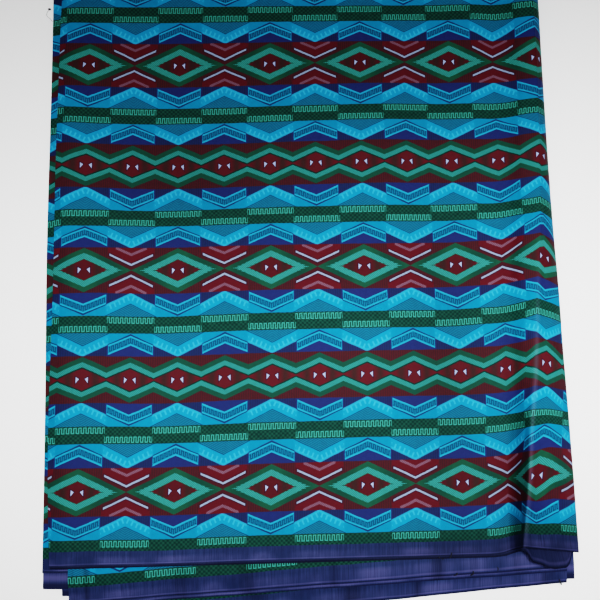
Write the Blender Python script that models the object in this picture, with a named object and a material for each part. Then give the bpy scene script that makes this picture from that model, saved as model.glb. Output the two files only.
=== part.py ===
"""Wax print fabric: one cut length of printed cotton, doubled selvedge to selvedge and folded to and fro into a pile.

Metres, +Z up. The selvedges lie at -Y, the fold along the middle of the cloth at +Y, and the panels' folds at -X
and +X. The origin is the centre of the pile's box, on its flat underside.
"""

import bpy
import numpy as np

# Size of the pile in plan, the gap between two stretches of cloth, and their walls
WIDTH = 0.4844
DEPTH = 0.6279
CLEAR = 0.0003
TOP_WALL = 0.0012
UNDER_WALL = 0.0010

# The top panel, a row for each section across it, from the selvedges to the far fold.
# left: cut end; foot, crest, height: the raised ridge; right: the loose fold; bend: how far the crest draws the
# rows of the print away from the selvedge.
TOP_COLUMNS = ("y", "left", "foot", "crest", "height", "right", "bend")
TOP_SECTIONS = (
    (-0.2557, -0.2348, 0.1790, 0.1890, 0.0200, 0.2400, 0.0064),
    (-0.2000, -0.2352, 0.1790, 0.1944, 0.0260, 0.2410, 0.0048),
    (-0.1500, -0.2349, 0.1810, 0.2010, 0.0210, 0.2412, 0.0050),
    (-0.1050, -0.2346, 0.1800, 0.2090, 0.0165, 0.2416, 0.0055),
    (-0.0650, -0.2338, 0.1770, 0.2140, 0.0160, 0.2420, 0.0060),
    (-0.0200, -0.2332, 0.1770, 0.2185, 0.0160, 0.2422, 0.0067),
    (0.0400, -0.2328, 0.1800, 0.2250, 0.0150, 0.2408, 0.0065),
    (0.1100, -0.2327, 0.1830, 0.2272, 0.0125, 0.2390, 0.0020),
    (0.2100, -0.2307, 0.1870, 0.2294, 0.0125, 0.2378, 0.0007),
    (0.2700, -0.2297, 0.1900, 0.2292, 0.0116, 0.2374, 0.0),
    (0.2950, -0.2291, 0.1912, 0.2289, 0.0112, 0.2371, 0.0),
    (0.3050, -0.2289, 0.1916, 0.2288, 0.0111, 0.2370, 0.0),
    (0.3140, -0.2287, 0.1920, 0.2286, 0.0110, 0.2370, 0.0),
)
TOP_ROWS = 25
BEND_RUN = 0.080

# The ridge's section: (share of the run, share of the height) up to the crest, and from the crest to the fold
RISE = ((0.0, 0.0), (0.36, 0.26), (0.70, 0.80), (1.0, 1.0))
FALL = ((0.24, 0.84), (0.60, 0.57), (0.87, 0.22))
FLAT_KNOTS = (-0.202, 0.0)
RIDGE_LEAD = 0.020
RIDGE_SPANS = (6, 3, 3, 2, 3, 3, 3, 3, 4, 3, 3)

# The loose fold turns below the flat top and returns to the second panel: (back from the fold, below the top)
TURN = ((0.0, 0.00095), (0.0010, 0.0030), (0.0036, 0.0038))
RETURN_END = 0.2306
TURN_SPANS = (2, 2, 2)

# The inner ply of the top panel: its selvedge from left to right, how far it stays inside the outer one, and the
# share of the ridge's height that its first rows have
UNDER_COLUMNS = ("x", "y")
UNDER_EDGE = (
    (-0.2390, -0.2584),
    (0.1770, -0.2584),
    (0.1870, -0.2550),
    (0.1950, -0.2520),
    (0.2000, -0.2600),
    (0.2060, -0.2650),
    (0.2190, -0.2680),
    (0.2410, -0.2695),
)
UNDER_INSET = 0.0016
UNDER_SETTLE = (0.40, 0.72, 0.90)

# The panels that show under it, from the top down. Each row gives the folds on the left and right and the edges
# at the near and far side, at their two ends.
PANEL_COLUMNS = ("name", "wall", "left_near", "left_far", "right_near", "right_far",
                 "near_left", "near_right", "far_left", "far_right")
PANELS = (
    ("second_panel", 0.0013, -0.2190, -0.2170, 0.2301, 0.2290, -0.2935, -0.2717, 0.2825, 0.3015),
    ("third_panel", 0.0010, -0.2179, -0.2160, 0.2300, 0.2285, -0.3156, -0.2810, 0.2700, 0.2955),
    ("fourth_panel", 0.0010, -0.2425, -0.2392, 0.2285, 0.2270, -0.2622, -0.2622, 0.3090, 0.3090),
    ("fifth_panel", 0.0010, -0.2420, -0.2388, 0.2382, 0.2350, -0.2754, -0.2793, 0.3030, 0.3010),
    ("sixth_panel", 0.0010, -0.2245, -0.2220, 0.2370, 0.2350, -0.2828, -0.2775, 0.3010, 0.3040),
)

# A fold's foot and shoulder as shares of the wall. The second panel's lower selvedge reaches out as a step, whose
# middle and folds have these shares of it.
FOLD_SHARES = (0.25, 0.70)
SECOND_STEP = 0.0036
STEP_SHARES = (0.50, 0.45)

# The hidden panels under those, from the lowest up: their edges on the left, right, near and far side
HIDDEN_COLUMNS = ("left", "right", "near", "far")
HIDDEN = (
    (-0.2262, 0.2314, -0.2652, 0.3040),
    (-0.2262, 0.2296, -0.2640, 0.3052),
    (-0.2246, 0.2296, -0.2658, 0.3036),
    (-0.2246, 0.2318, -0.2636, 0.3048),
    (-0.2258, 0.2318, -0.2648, 0.3030),
    (-0.2220, 0.2280, -0.2620, 0.3010),
)
HIDDEN_LAYER = 0.00073
LAYER_SHARES = (0.30, 0.75)
GROOVE = 0.0012
CORNER = 0.0040
CORNER_POINTS = 3

# Past the edge of a panel the ones above it sink by its thickness, within this distance
SAG_RUN = 0.024

# Lines in plan that the panels share, so that their walls stay parallel, and the rows between them and the edges
ACROSS = (-0.237, -0.232, -0.227, -0.222, -0.212, -0.202, -0.190, 0.0, 0.190, 0.205, 0.215, 0.220, 0.225,
          0.230, 0.235)
ALONG = (-0.276, -0.272, -0.268, -0.264, -0.260, -0.256, -0.252, -0.244, -0.236, -0.224, -0.200, 0.0, 0.230,
         0.250, 0.264)
EDGE_MARGIN = 0.003
NEAR_ROWS = 6
FAR_ROWS = 6

# Colours, roughness and metallic value of the printed ground and of the plain selvedges
PRINT = ((0.02, 0.30, 0.42), 0.55, 0.0)
SELVEDGE = ((0.04, 0.03, 0.16), 0.5, 0.0)


def columns(names, rows):
    """Turn a table's rows into one array for each named column."""
    return {name: np.array(values) for name, values in zip(names, zip(*rows))}


def through(knots, spans):
    """Smooth line through the knots, a cubic for each span. It turns only at a knot, so it overshoots nowhere."""
    knots = np.asarray(knots, dtype=float)
    steps = np.linalg.norm(np.diff(knots, axis=0), axis=1)
    place = np.concatenate(([0.0], np.cumsum(steps)))
    slope = np.diff(knots, axis=0) / steps[:, None]
    before, after = slope[:-1], slope[1:]
    same_way = before * after > 0
    mean = 2 * before * after / np.where(same_way, before + after, 1.0)
    tangent = np.vstack((slope[:1], np.where(same_way, mean, 0.0), slope[-1:]))
    where = np.concatenate([np.linspace(a, b, n, endpoint=False) for a, b, n in zip(place, place[1:], spans)])
    where = np.append(where, place[-1])
    span = np.clip(np.searchsorted(place, where, side="right") - 1, 0, len(steps) - 1)
    length = steps[span][:, None]
    t = (where - place[span])[:, None] / length
    start = (2 * t**3 - 3 * t**2 + 1) * knots[span] + (t**3 - 2 * t**2 + t) * length * tangent[span]
    end = (3 * t**2 - 2 * t**3) * knots[span + 1] + (t**3 - t**2) * length * tangent[span + 1]
    return start + end


def inward(line, depth):
    """Move a section's line inwards, square to itself: down from the top, in from the fold."""
    steps = np.diff(line, axis=0)
    steps /= np.linalg.norm(steps, axis=1)[:, None]
    along = np.vstack((steps[:1], steps[:-1] + steps[1:], steps[-1:]))
    along /= np.linalg.norm(along, axis=1)[:, None]
    return line + depth * np.stack((along[:, 1], -along[:, 0]), axis=1)


def edges(panel, x, y):
    """A panel's left and right fold at y, and its near and far edge at x."""
    share_y = (y + DEPTH / 2) / DEPTH
    share_x = (x + WIDTH / 2) / WIDTH
    left = panel["left_near"] + share_y * (panel["left_far"] - panel["left_near"])
    right = panel["right_near"] + share_y * (panel["right_far"] - panel["right_near"])
    near = panel["near_left"] + share_x * (panel["near_right"] - panel["near_left"])
    far = panel["far_left"] + share_x * (panel["far_right"] - panel["far_left"])
    return left, right, near, far


def carried(distance):
    """Share of a panel's thickness that carries the cloth above it: all inside its edge, fading out past it."""
    share = np.clip(1 + distance / SAG_RUN, 0, 1)
    return share * share * (3 - 2 * share)


def stack(panels, x, y, open_right=False):
    """Height of the stack at (x, y) in plan. Right of the panels it stays up under the loose fold if open_right."""
    height = np.zeros(np.broadcast(x, y).shape)
    for panel in panels:
        left, right, near, far = edges(panel, x, y)
        share = carried(x - left) * carried(y - near) * carried(far - y)
        if not open_right:
            share = share * carried(right - x)
        height = height + share * panel["pitch"]
    return height


def all_panels():
    """Every panel from the top down, each with the height that it adds to the stack. The hidden ones are the last."""
    panels = [dict(zip(PANEL_COLUMNS, row)) for row in PANELS]
    for panel in panels:
        panel["pitch"] = panel["wall"] + CLEAR
    left, right, near, far = HIDDEN[-1]
    corners = (left, left, right, right, near, near, far, far)
    hidden = dict(zip(PANEL_COLUMNS[2:], corners), pitch=len(HIDDEN) * HIDDEN_LAYER + CLEAR)
    return panels + [hidden]


def ridge_knots(row, settle):
    """Knots of the top panel's section over the stack, from its cut end to the loose fold and its return."""
    foot, crest, right = row["foot"], row["crest"], row["right"]
    height = row["height"] * settle
    knots = [(x, 0.0) for x in (row["left"], *FLAT_KNOTS, foot - RIDGE_LEAD)]
    knots += [(foot + share * (crest - foot), rise * height) for share, rise in RISE]
    knots += [(crest + share * (right - crest), rise * height) for share, rise in FALL]
    knots += [(right - back, -drop) for back, drop in TURN]
    knots += [(RETURN_END, -TURN[-1][1])]
    return knots


def bend(x, row):
    """How far the ridge draws the cloth's rows to the far side: most at the crest, nothing at the fold."""
    rise = np.clip((x - row["crest"] + BEND_RUN) / BEND_RUN, 0, 1) ** 3
    fall = np.clip((row["right"] - x) / (row["right"] - row["crest"]), 0, 1)
    return row["bend"] * np.minimum(rise, fall)


def top_rows():
    """Sections of the top panel at rows spread evenly over the table's rows."""
    table = columns(TOP_COLUMNS, TOP_SECTIONS)
    known = np.arange(len(TOP_SECTIONS))
    place = np.linspace(0, known[-1], TOP_ROWS)
    spread = {name: np.interp(place, known, values) for name, values in table.items()}
    return [{name: values[i] for name, values in spread.items()} for i in range(TOP_ROWS)]


def top_line(row, panels, settle=1.0):
    """Outer line of the top panel's section, laid over the stack, and the y of its points."""
    line = through(ridge_knots(row, settle), RIDGE_SPANS + TURN_SPANS)
    y = row["y"] + bend(line[:, 0], row)
    cover = UNDER_WALL + CLEAR + TOP_WALL
    line[:, 1] += stack(panels, line[:, 0], np.full(len(line), row["y"]), open_right=True) + cover
    return line, y


def placed(line, y):
    """Stand a section's (x, z) line up at its points' y."""
    return np.stack((line[:, 0], y, line[:, 1]), axis=1)


def solid(name, points, faces, finish):
    """Add one mesh object with its own material."""
    colour, roughness, metallic = finish
    mesh = bpy.data.meshes.new(name)
    mesh.from_pydata([tuple(point) for point in points], [], faces)
    mesh.validate()
    material = bpy.data.materials.new(name)
    material.use_nodes = True
    shader = material.node_tree.nodes["Principled BSDF"]
    shader.inputs["Base Color"].default_value = (*colour, 1.0)
    shader.inputs["Roughness"].default_value = roughness
    shader.inputs["Metallic"].default_value = metallic
    mesh.materials.append(material)
    thing = bpy.data.objects.new(name, mesh)
    bpy.context.collection.objects.link(thing)


def wall(name, upper, lower, finish):
    """One closed wall between two grids of points, given as rows by columns by (x, y, z)."""
    upper = np.asarray(upper)
    lower = np.asarray(lower)
    rows, count = upper.shape[:2]
    ring = np.concatenate((upper, lower[:, ::-1]), axis=1)
    size = 2 * count
    corner = np.arange(rows)[:, None] * size + np.arange(size)[None, :]
    after = np.roll(corner, -1, axis=1)
    sides = np.stack((corner[:-1], after[:-1], after[1:], corner[1:]), axis=-1).reshape(-1, 4)
    column = np.arange(count - 1)
    cap = np.stack((column, size - 1 - column, size - 2 - column, column + 1), axis=-1)
    far_cap = cap[:, ::-1] + (rows - 1) * size
    faces = np.concatenate((sides, cap, far_cap))
    solid(name, ring.reshape(-1, 3), faces.tolist(), finish)


def top_panel(panels):
    """Outer ply: cut end on the left, flat panel, ridge, and the loose fold that returns to the second panel."""
    upper, lower = [], []
    for row in top_rows():
        line, y = top_line(row, panels)
        upper.append(placed(line, y))
        lower.append(placed(inward(line, TOP_WALL), y))
    wall("top_panel", upper, lower, PRINT)


def top_under_ply(panels):
    """Inner ply of the top panel, just under the outer one. Right of the ridge it slips out towards the viewer."""
    edge = columns(UNDER_COLUMNS, UNDER_EDGE)
    rows = top_rows()
    shown = sum(RIDGE_SPANS) - 1
    upper, lower = [], []
    for number, row in enumerate(rows):
        settle = UNDER_SETTLE[number] if number < len(UNDER_SETTLE) else 1.0
        row = dict(row, left=row["left"] + UNDER_INSET)
        line, y = top_line(row, panels, settle)
        x = line[:, 0]
        reach = np.interp(x, edge["x"], edge["y"]) - rows[0]["y"] - bend(x, rows[0])
        y = y + reach * max(0.0, 1 - number / len(UNDER_SETTLE))
        upper.append(placed(inward(line, TOP_WALL + CLEAR), y)[:shown])
        lower.append(placed(inward(line, TOP_WALL + CLEAR + UNDER_WALL), y)[:shown])
    wall("top_under_ply", upper, lower, SELVEDGE)


def flat_panel(panel, below):
    """A flat panel with a round fold on each side, sinking past the edges of those below it.

    The second panel's lower selvedge reaches out past its upper one, so its wall has a step.
    """
    thickness = panel["wall"]
    radius = FOLD_SHARES[0] * thickness
    step = SECOND_STEP + CLEAR if panel["name"] == "second_panel" else 0.0
    inner = [x for x in ACROSS if panel["left_near"] + EDGE_MARGIN < x < panel["right_far"] - EDGE_MARGIN]
    first = max(panel["near_left"], panel["near_right"]) + step + EDGE_MARGIN
    last = min(panel["far_left"], panel["far_right"]) - EDGE_MARGIN
    lines = [y for y in ALONG if first < y < last]

    # Each row: where it is, how far past the near edge it starts, the share of the way to a shared line, and the
    # share of the wall's thickness that it has along its middle and on its folds
    rows = [("near", start, 0.0, *STEP_SHARES) for start in (0.0, SECOND_STEP)] if step else []
    rows += [("near", step, share, 1.0, FOLD_SHARES[1]) for share in np.linspace(0, 1, NEAR_ROWS, endpoint=False)]
    rows += [("line", y, 0.0, 1.0, FOLD_SHARES[1]) for y in lines]
    rows += [("far", 0.0, share, 1.0, FOLD_SHARES[1]) for share in np.linspace(0, 1, FAR_ROWS + 1)[1:]]

    upper, lower = [], []
    for kind, start, share, height, fold_height in rows:
        line = {"near": lines[0], "line": start, "far": lines[-1]}[kind]
        left, right = edges(panel, 0.0, line)[:2]
        x = np.array([left, left + radius, *inner, right - radius, right])
        near, far = edges(panel, x, line)[2:]
        if kind == "near":
            y = near + start + share * (line - near - start)
        elif kind == "far":
            y = line + share * (far - line)
        else:
            y = np.full(len(x), line)
        base = stack(below, x, y)
        top = base + thickness * height
        top[[0, -1]] = base[[0, -1]] + thickness * fold_height
        base[[0, -1]] += thickness * FOLD_SHARES[0]
        upper.append(np.stack((x, y, top), axis=1))
        lower.append(np.stack((x, y, base), axis=1))
    wall(panel["name"], upper, lower, SELVEDGE)


def outline(left, right, near, far, z):
    """Ring of points round a panel with rounded corners, anticlockwise seen from above."""
    turn = np.linspace(0, np.pi / 2, CORNER_POINTS)
    centres = ((right - CORNER, far - CORNER), (left + CORNER, far - CORNER),
               (left + CORNER, near + CORNER), (right - CORNER, near + CORNER))
    points = []
    for quarter, (x, y) in enumerate(centres):
        angle = turn + quarter * np.pi / 2
        points += [(x + CORNER * np.cos(a), y + CORNER * np.sin(a), z) for a in angle]
    return points


def hidden_layers():
    """The hidden panels as one rounded solid: each layer bulges, and a groove parts it from the next."""
    rings = []
    edge = columns(HIDDEN_COLUMNS, HIDDEN)
    for number, row in enumerate(HIDDEN):
        base = number * HIDDEN_LAYER
        foot = base + LAYER_SHARES[0] * HIDDEN_LAYER if number else 0.0
        rings.append(outline(*row, foot))
        rings.append(outline(*row, base + LAYER_SHARES[1] * HIDDEN_LAYER))
        both = slice(number, number + 2)
        left, near = edge["left"][both].max() + GROOVE, edge["near"][both].max() + GROOVE
        right, far = edge["right"][both].min() - GROOVE, edge["far"][both].min() - GROOVE
        rings.append(outline(left, right, near, far, base + HIDDEN_LAYER))
    size = len(rings[0])
    faces = [list(range(size))[::-1]]
    for level in range(len(rings) - 1):
        for i in range(size):
            j = (i + 1) % size
            low = level * size
            faces.append((low + i, low + j, low + size + j, low + size + i))
    faces.append([(len(rings) - 1) * size + i for i in range(size)])
    solid("hidden_layers", [point for ring in rings for point in ring], faces, SELVEDGE)


for old in list(bpy.data.objects):
    bpy.data.objects.remove(old, do_unlink=True)

panels = all_panels()
top_panel(panels)
top_under_ply(panels)
for order, panel in enumerate(panels[:-1]):
    flat_panel(panel, panels[order + 1:])
hidden_layers()
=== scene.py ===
"""Folded wax print fabric: one cut length of printed cotton, doubled and folded to and fro, on a pale table.

Metres, +Z up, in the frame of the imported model: the selvedges lie at -Y, the fold along the middle of the
cloth at +Y, and the panels' folds at -X and +X. The print is charted in millimetres of the flat cloth.
"""

import bpy
import numpy as np
from mathutils import Matrix, Vector


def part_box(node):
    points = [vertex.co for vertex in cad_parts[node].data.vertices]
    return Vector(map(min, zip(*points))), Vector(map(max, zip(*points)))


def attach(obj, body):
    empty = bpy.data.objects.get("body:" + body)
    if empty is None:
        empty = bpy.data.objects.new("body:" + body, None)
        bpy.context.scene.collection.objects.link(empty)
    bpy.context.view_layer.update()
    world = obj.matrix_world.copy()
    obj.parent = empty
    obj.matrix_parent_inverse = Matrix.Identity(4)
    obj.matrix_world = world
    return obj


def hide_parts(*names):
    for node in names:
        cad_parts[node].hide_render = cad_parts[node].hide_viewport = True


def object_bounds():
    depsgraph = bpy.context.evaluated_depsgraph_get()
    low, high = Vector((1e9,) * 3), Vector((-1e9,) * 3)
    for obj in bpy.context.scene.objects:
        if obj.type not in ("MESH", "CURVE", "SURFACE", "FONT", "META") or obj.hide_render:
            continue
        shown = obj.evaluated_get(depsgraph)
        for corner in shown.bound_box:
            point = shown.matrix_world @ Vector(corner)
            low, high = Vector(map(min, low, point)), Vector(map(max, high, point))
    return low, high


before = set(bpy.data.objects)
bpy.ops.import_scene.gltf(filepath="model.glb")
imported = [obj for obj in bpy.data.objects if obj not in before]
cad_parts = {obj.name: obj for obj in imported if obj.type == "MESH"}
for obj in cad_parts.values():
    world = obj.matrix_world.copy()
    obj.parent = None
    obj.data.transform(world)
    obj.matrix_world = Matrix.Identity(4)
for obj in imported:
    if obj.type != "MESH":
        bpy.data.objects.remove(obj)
cad_box = np.array(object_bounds())


# The lowest panels
# Six doubled panels of the printed cotton carry the others, so that only their folds and edges show. They are
# pressed flat and lie on the table, each a little out of line with the next.
WIDTH, DEPTH = (cad_box[1] - cad_box[0])[:2]
CLEAR = 0.0003
PLY = 0.00028
CLOTH_WIDTH = 1.143
SAG_RUN = 0.024
PANEL_COLUMNS = ("left_near", "left_far", "right_near", "right_far", "near_left", "near_right",
                 "far_left", "far_right", "setback", "phase")
LOWEST = (
    (-0.2262, -0.2255, 0.2314, 0.2310, -0.2652, -0.2650, 0.3040, 0.3036, 0.0010, 0.011),
    (-0.2262, -0.2250, 0.2296, 0.2300, -0.2636, -0.2644, 0.3052, 0.3046, 0.0014, 0.070),
    (-0.2246, -0.2252, 0.2296, 0.2290, -0.2658, -0.2650, 0.3036, 0.3040, 0.0008, 0.034),
    (-0.2246, -0.2240, 0.2318, 0.2310, -0.2636, -0.2630, 0.3048, 0.3044, 0.0012, 0.052),
    (-0.2258, -0.2250, 0.2318, 0.2314, -0.2648, -0.2640, 0.3030, 0.3036, 0.0011, 0.080),
    (-0.2224, -0.2220, 0.2284, 0.2280, -0.2622, -0.2620, 0.3014, 0.3010, 0.0009, 0.022),
)

# A doubled panel's points: across and along the lowest ones and the others, and round its folds
LOWEST_GRID = (64, 50)
PANEL_GRID = (120, 56)
NOSE_POINTS, NOSE_START = 4, 0.12
FOLD_ROWS = 5

# The share of its pitch that it fills, the bow of its side, its ripples, rolled selvedge and creases, and the
# painted shade in its creases
FULLNESS = 0.92
BOW_MIDDLE, BOW_RUN = 0.04, 0.12
RIPPLE_REACH, RIPPLE_RUN = 0.4, 0.011
EDGE_ROLL, EDGE_MIDDLE = 0.00025, 0.0016
DRAWN_RUN = 0.012
CREASE_SHADE = 500.0


def edges(panel, x, y):
    """A panel's left and right fold at y, and its near and far edge at x, each a straight line in plan."""
    share_y = (y + DEPTH / 2) / DEPTH
    share_x = (x + WIDTH / 2) / WIDTH
    left = panel["left_near"] + share_y * (panel["left_far"] - panel["left_near"])
    right = panel["right_near"] + share_y * (panel["right_far"] - panel["right_near"])
    near = panel["near_left"] + share_x * (panel["near_right"] - panel["near_left"])
    far = panel["far_left"] + share_x * (panel["far_right"] - panel["far_left"])
    return left, right, near, far


def carried(distance):
    """Share of a panel's height under the cloth above it: one inside its edge, easing to nothing past it."""
    share = np.clip(1 + distance / SAG_RUN, 0, 1)
    return share * share * (3 - 2 * share)


def stack(panels, x, y, open_right=False):
    """Height of the panels at (x, y): the sum of their pitches, each easing out past the panel's edges."""
    height = np.zeros(np.broadcast(x, y).shape)
    for panel in panels:
        left, right, near, far = edges(panel, x, y)
        share = carried(x - left) * carried(y - near) * carried(far - y)
        if not open_right:
            share = share * carried(right - x)
        height = height + share * panel["pitch"]
    return height


def eased(count):
    """Shares from 0 to 1, close together at both ends: half of one minus the cosine of an even turn."""
    return (1 - np.cos(np.linspace(0, np.pi, count))) / 2


def panel_of(row, pitch, **print_sizes):
    """A panel's sizes by name, from its row of a table, with the height that it adds to the stack."""
    panel = {"pitch": pitch, "stretch": 1.0, "shift": 0.0, "tilt": 0.0, "bow": 0.0}
    panel.update(zip(PANEL_COLUMNS, row))
    panel.update(print_sizes)
    return panel


def bell(distance, width):
    """Bell-shaped share of a distance: one at nothing, and about a third at the width."""
    return np.exp(-(distance / width) ** 2)


def doubled(panel, below, grid, ripples=(), creases=()):
    """Middle surface of a doubled panel, its place on the flat cloth, its painted highlight (none) and
    painted shade, as four grids.

    Rows run along the cloth: the upper ply from its selvedge to the far fold, round it in a half circle, and
    the lower ply back. Columns run across, and at both ends each ply turns a quarter circle to meet the
    other. A ripple is a sine along the selvedge that fades inwards. A crease is a bell-shaped trough along a
    line in plan, darkened with painted shade. The selvedge stands up in a low roll, and nothing goes below
    the table.
    """
    half = (panel["pitch"] - PLY - CLEAR) / 2 * FULLNESS
    columns, rows = grid
    turn = np.linspace(NOSE_START, np.pi / 2, NOSE_POINTS, endpoint=False)
    out = half * (1 - np.cos(turn))
    rise = np.concatenate((np.sin(turn), np.ones(columns), np.sin(turn)[::-1]))

    fold = np.linspace(0, np.pi, FOLD_ROWS + 2)[1:-1]
    share = np.concatenate((eased(rows), np.ones(FOLD_ROWS), eased(rows)[::-1]))[:, None]
    past = np.concatenate((np.zeros(rows), half * np.sin(fold), np.zeros(rows)))[:, None]
    swing = np.concatenate((np.ones(rows), np.cos(fold), -np.ones(rows)))[:, None]
    upper = swing > 0

    middle_y = panel["near_left"] + share * (panel["far_left"] - panel["near_left"])
    left, right = edges(panel, 0.0, middle_y)[:2]
    left = left - panel["bow"] * bell(middle_y - BOW_MIDDLE, BOW_RUN)
    inner = left + half + eased(columns)[None, :] * (right - left - 2 * half)
    x = np.concatenate((left + out[None, :], inner, right - out[::-1][None, :]), axis=1)
    near, far = edges(panel, x, middle_y)[2:]
    near = near + np.where(upper, panel["setback"], 0.0)
    for amplitude, length, start in ripples:
        near = near + RIPPLE_REACH * amplitude * np.sin(2 * np.pi * x / length + start)
    inwards = share * (far - half - near)
    y = near + inwards + past

    z = stack(below, x, y) + PLY / 2 + half + half * swing * rise[None, :]
    for amplitude, length, start in ripples:
        wave = 0.5 + 0.5 * np.sin(2 * np.pi * x / length + start)
        z = z + amplitude * wave * bell(inwards, RIPPLE_RUN)
    # Painted shade darkens the dyes along each crease's trough
    shade = np.ones(z.shape)
    for place, lean, width, depth, run in creases:
        trough = depth * bell(x - place - lean * inwards, width) * bell(inwards, run)
        z = z - trough
        shade = shade - CREASE_SHADE * trough
    z = z + EDGE_ROLL * bell(inwards - EDGE_MIDDLE, EDGE_MIDDLE)
    z = np.maximum(z, PLY / 2 + np.where(upper, (PLY + CLEAR) * rise[None, :], 0.0))
    drawn = np.clip(inwards / DRAWN_RUN, 0, 1)
    across = inwards - (panel["shift"] + panel["tilt"] * x) * drawn
    q = np.where(upper, across, CLOTH_WIDTH - across)
    q = np.where(past > 0, CLOTH_WIDTH / 2, q)
    p = np.broadcast_to(x * panel["stretch"] + panel["phase"], q.shape)
    return np.stack((x, y, z), axis=-1), np.stack((p, q), axis=-1), np.zeros(z.shape), shade


def cloth(name, sheets):
    """Closed thin cloth round grids of points: a face on each side, half a ply off, and a rim between them.

    Each sheet is a grid of points, one of places on the flat cloth, which become the UV map of the print, one
    of painted highlight on the ridge's crest, from nothing to one, and one of painted light and shade on its
    dyes.
    """
    corners, quads, places, crest_highlights, painted_shading = [], [], [], [], []
    start = 0
    for middle, place, crest_highlight, shade in sheets:
        crest_highlights += [crest_highlight.ravel()] * 2
        painted_shading += [shade.ravel()] * 2
        normal = np.cross(np.gradient(middle, axis=1), np.gradient(middle, axis=0))
        normal /= np.linalg.norm(normal, axis=-1)[..., None]
        rows, columns = middle.shape[:2]
        size = rows * columns
        number = start + np.arange(size).reshape(rows, columns)
        face = np.stack((number[:-1, :-1], number[:-1, 1:], number[1:, 1:], number[1:, :-1]), axis=-1)
        face = face.reshape(-1, 4)
        border = np.concatenate((number[0, :-1], number[:-1, -1], number[-1, :0:-1], number[:0:-1, 0]))
        after = np.roll(border, -1)
        rim = np.stack((border, border + size, after + size, after), axis=-1)
        corners += [(middle + side * normal * PLY / 2).reshape(-1, 3) for side in (1, -1)]
        quads += [face, face[:, ::-1] + size, rim]
        places += [place.reshape(-1, 2)] * 2
        start += 2 * size
    mesh = bpy.data.meshes.new(name)
    faces = np.concatenate(quads)
    mesh.from_pydata(np.concatenate(corners).tolist(), [], faces.tolist())
    mesh.polygons.foreach_set("use_smooth", np.ones(len(faces), dtype=bool))
    mesh.set_sharp_from_angle(angle=np.radians(50))
    layer = mesh.uv_layers.new(name="cut")
    layer.data.foreach_set("uv", np.concatenate(places)[faces.ravel()].astype(np.float32).ravel())
    # The painted crest highlight and the painted light and shade, which the print's material reads
    mesh.attributes.new("crest_highlight", "FLOAT", "POINT").data.foreach_set("value", np.concatenate(crest_highlights))
    mesh.attributes.new("shade", "FLOAT", "POINT").data.foreach_set("value", np.concatenate(painted_shading))
    thing = bpy.data.objects.new(name, mesh)
    bpy.context.collection.objects.link(thing)
    return thing


class Wire:
    """A shader socket that takes part in arithmetic: an expression on it adds its Math nodes."""

    def __init__(self, tree, socket=None):
        self.tree = tree
        self.socket = socket

    def node(self, kind, settings, values, output=0):
        """Another node of the same tree: its settings first, then the numbers or wires of its sockets."""
        node = self.tree.nodes.new(kind)
        for name, setting in settings.items():
            setattr(node, name, setting)
        for key, value in values.items():
            if isinstance(value, Wire):
                self.tree.links.new(value.socket, node.inputs[key])
            else:
                node.inputs[key].default_value = value
        return Wire(self.tree, node.outputs[output])

    def maths(self, operation, *values, clamp=False):
        settings = {"operation": operation, "use_clamp": clamp}
        return self.node("ShaderNodeMath", settings, dict(enumerate(values)))

    def __add__(self, other):
        return self.maths("ADD", self, other)

    def __sub__(self, other):
        return self.maths("SUBTRACT", self, other)

    def __rsub__(self, other):
        return self.maths("SUBTRACT", other, self)

    def __mul__(self, other):
        return self.maths("MULTIPLY", self, other)

    def __truediv__(self, other):
        return self.maths("DIVIDE", self, other)

    def __abs__(self):
        return self.maths("ABSOLUTE", self)

    __radd__ = __add__
    __rmul__ = __mul__

    def round(self):
        return self.maths("ROUND", self)

    def fraction(self):
        return self.maths("FRACT", self)

    def cosine(self):
        return self.maths("COSINE", self)

    def squared(self):
        """The value times itself, held between nothing and one."""
        return self.maths("MULTIPLY", self, self, clamp=True)

    def least(self, *others):
        value = self
        for other in others:
            value = self.maths("MINIMUM", value, other)
        return value

    def most(self, other):
        return self.maths("MAXIMUM", self, other)

    def inside(self, blur=0.45):
        """Mask of a shape, from the depth inside its edge: one inside, with an edge as soft as the dye's."""
        return self.maths("MULTIPLY_ADD", self, 1 / blur, 0.5, clamp=True)

    def over(self, ground, colour):
        """Colour laid over the ground where this mask is one."""
        return self.node("ShaderNodeMix", {"data_type": "RGBA"}, {0: self, 6: ground, 7: colour}, output=2)


def dye(red, green, blue):
    """Linear colour of a dye from its display values, each from 0 to 255."""
    share = np.array((red, green, blue)) / 255
    linear = np.where(share <= 0.04045, share / 12.92, ((share + 0.055) / 1.055) ** 2.4)
    return (*linear.tolist(), 1.0)


# Millimetres of the flat cloth: the print's repeat along the selvedge, the step from band to band and the
# middle of the first band, the half heights of the red bands and of those with their zigzags, and the plain
# selvedge. The slopes are those of the motifs' slanted edges.
REPEAT = 87.5
COLUMN = REPEAT / 4
BAND_STEP = 101.5
FIRST_BAND = 64.0
RED_HALF = 21.2
ZIGZAG_HALF = 42.5
SELVEDGE = 11.5
LEG_SLOPE = 0.478
DIAMOND_SLOPE = 0.47
CHAIN_SLOPE = 0.435
CHEVRON_SLOPE = 0.43

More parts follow.
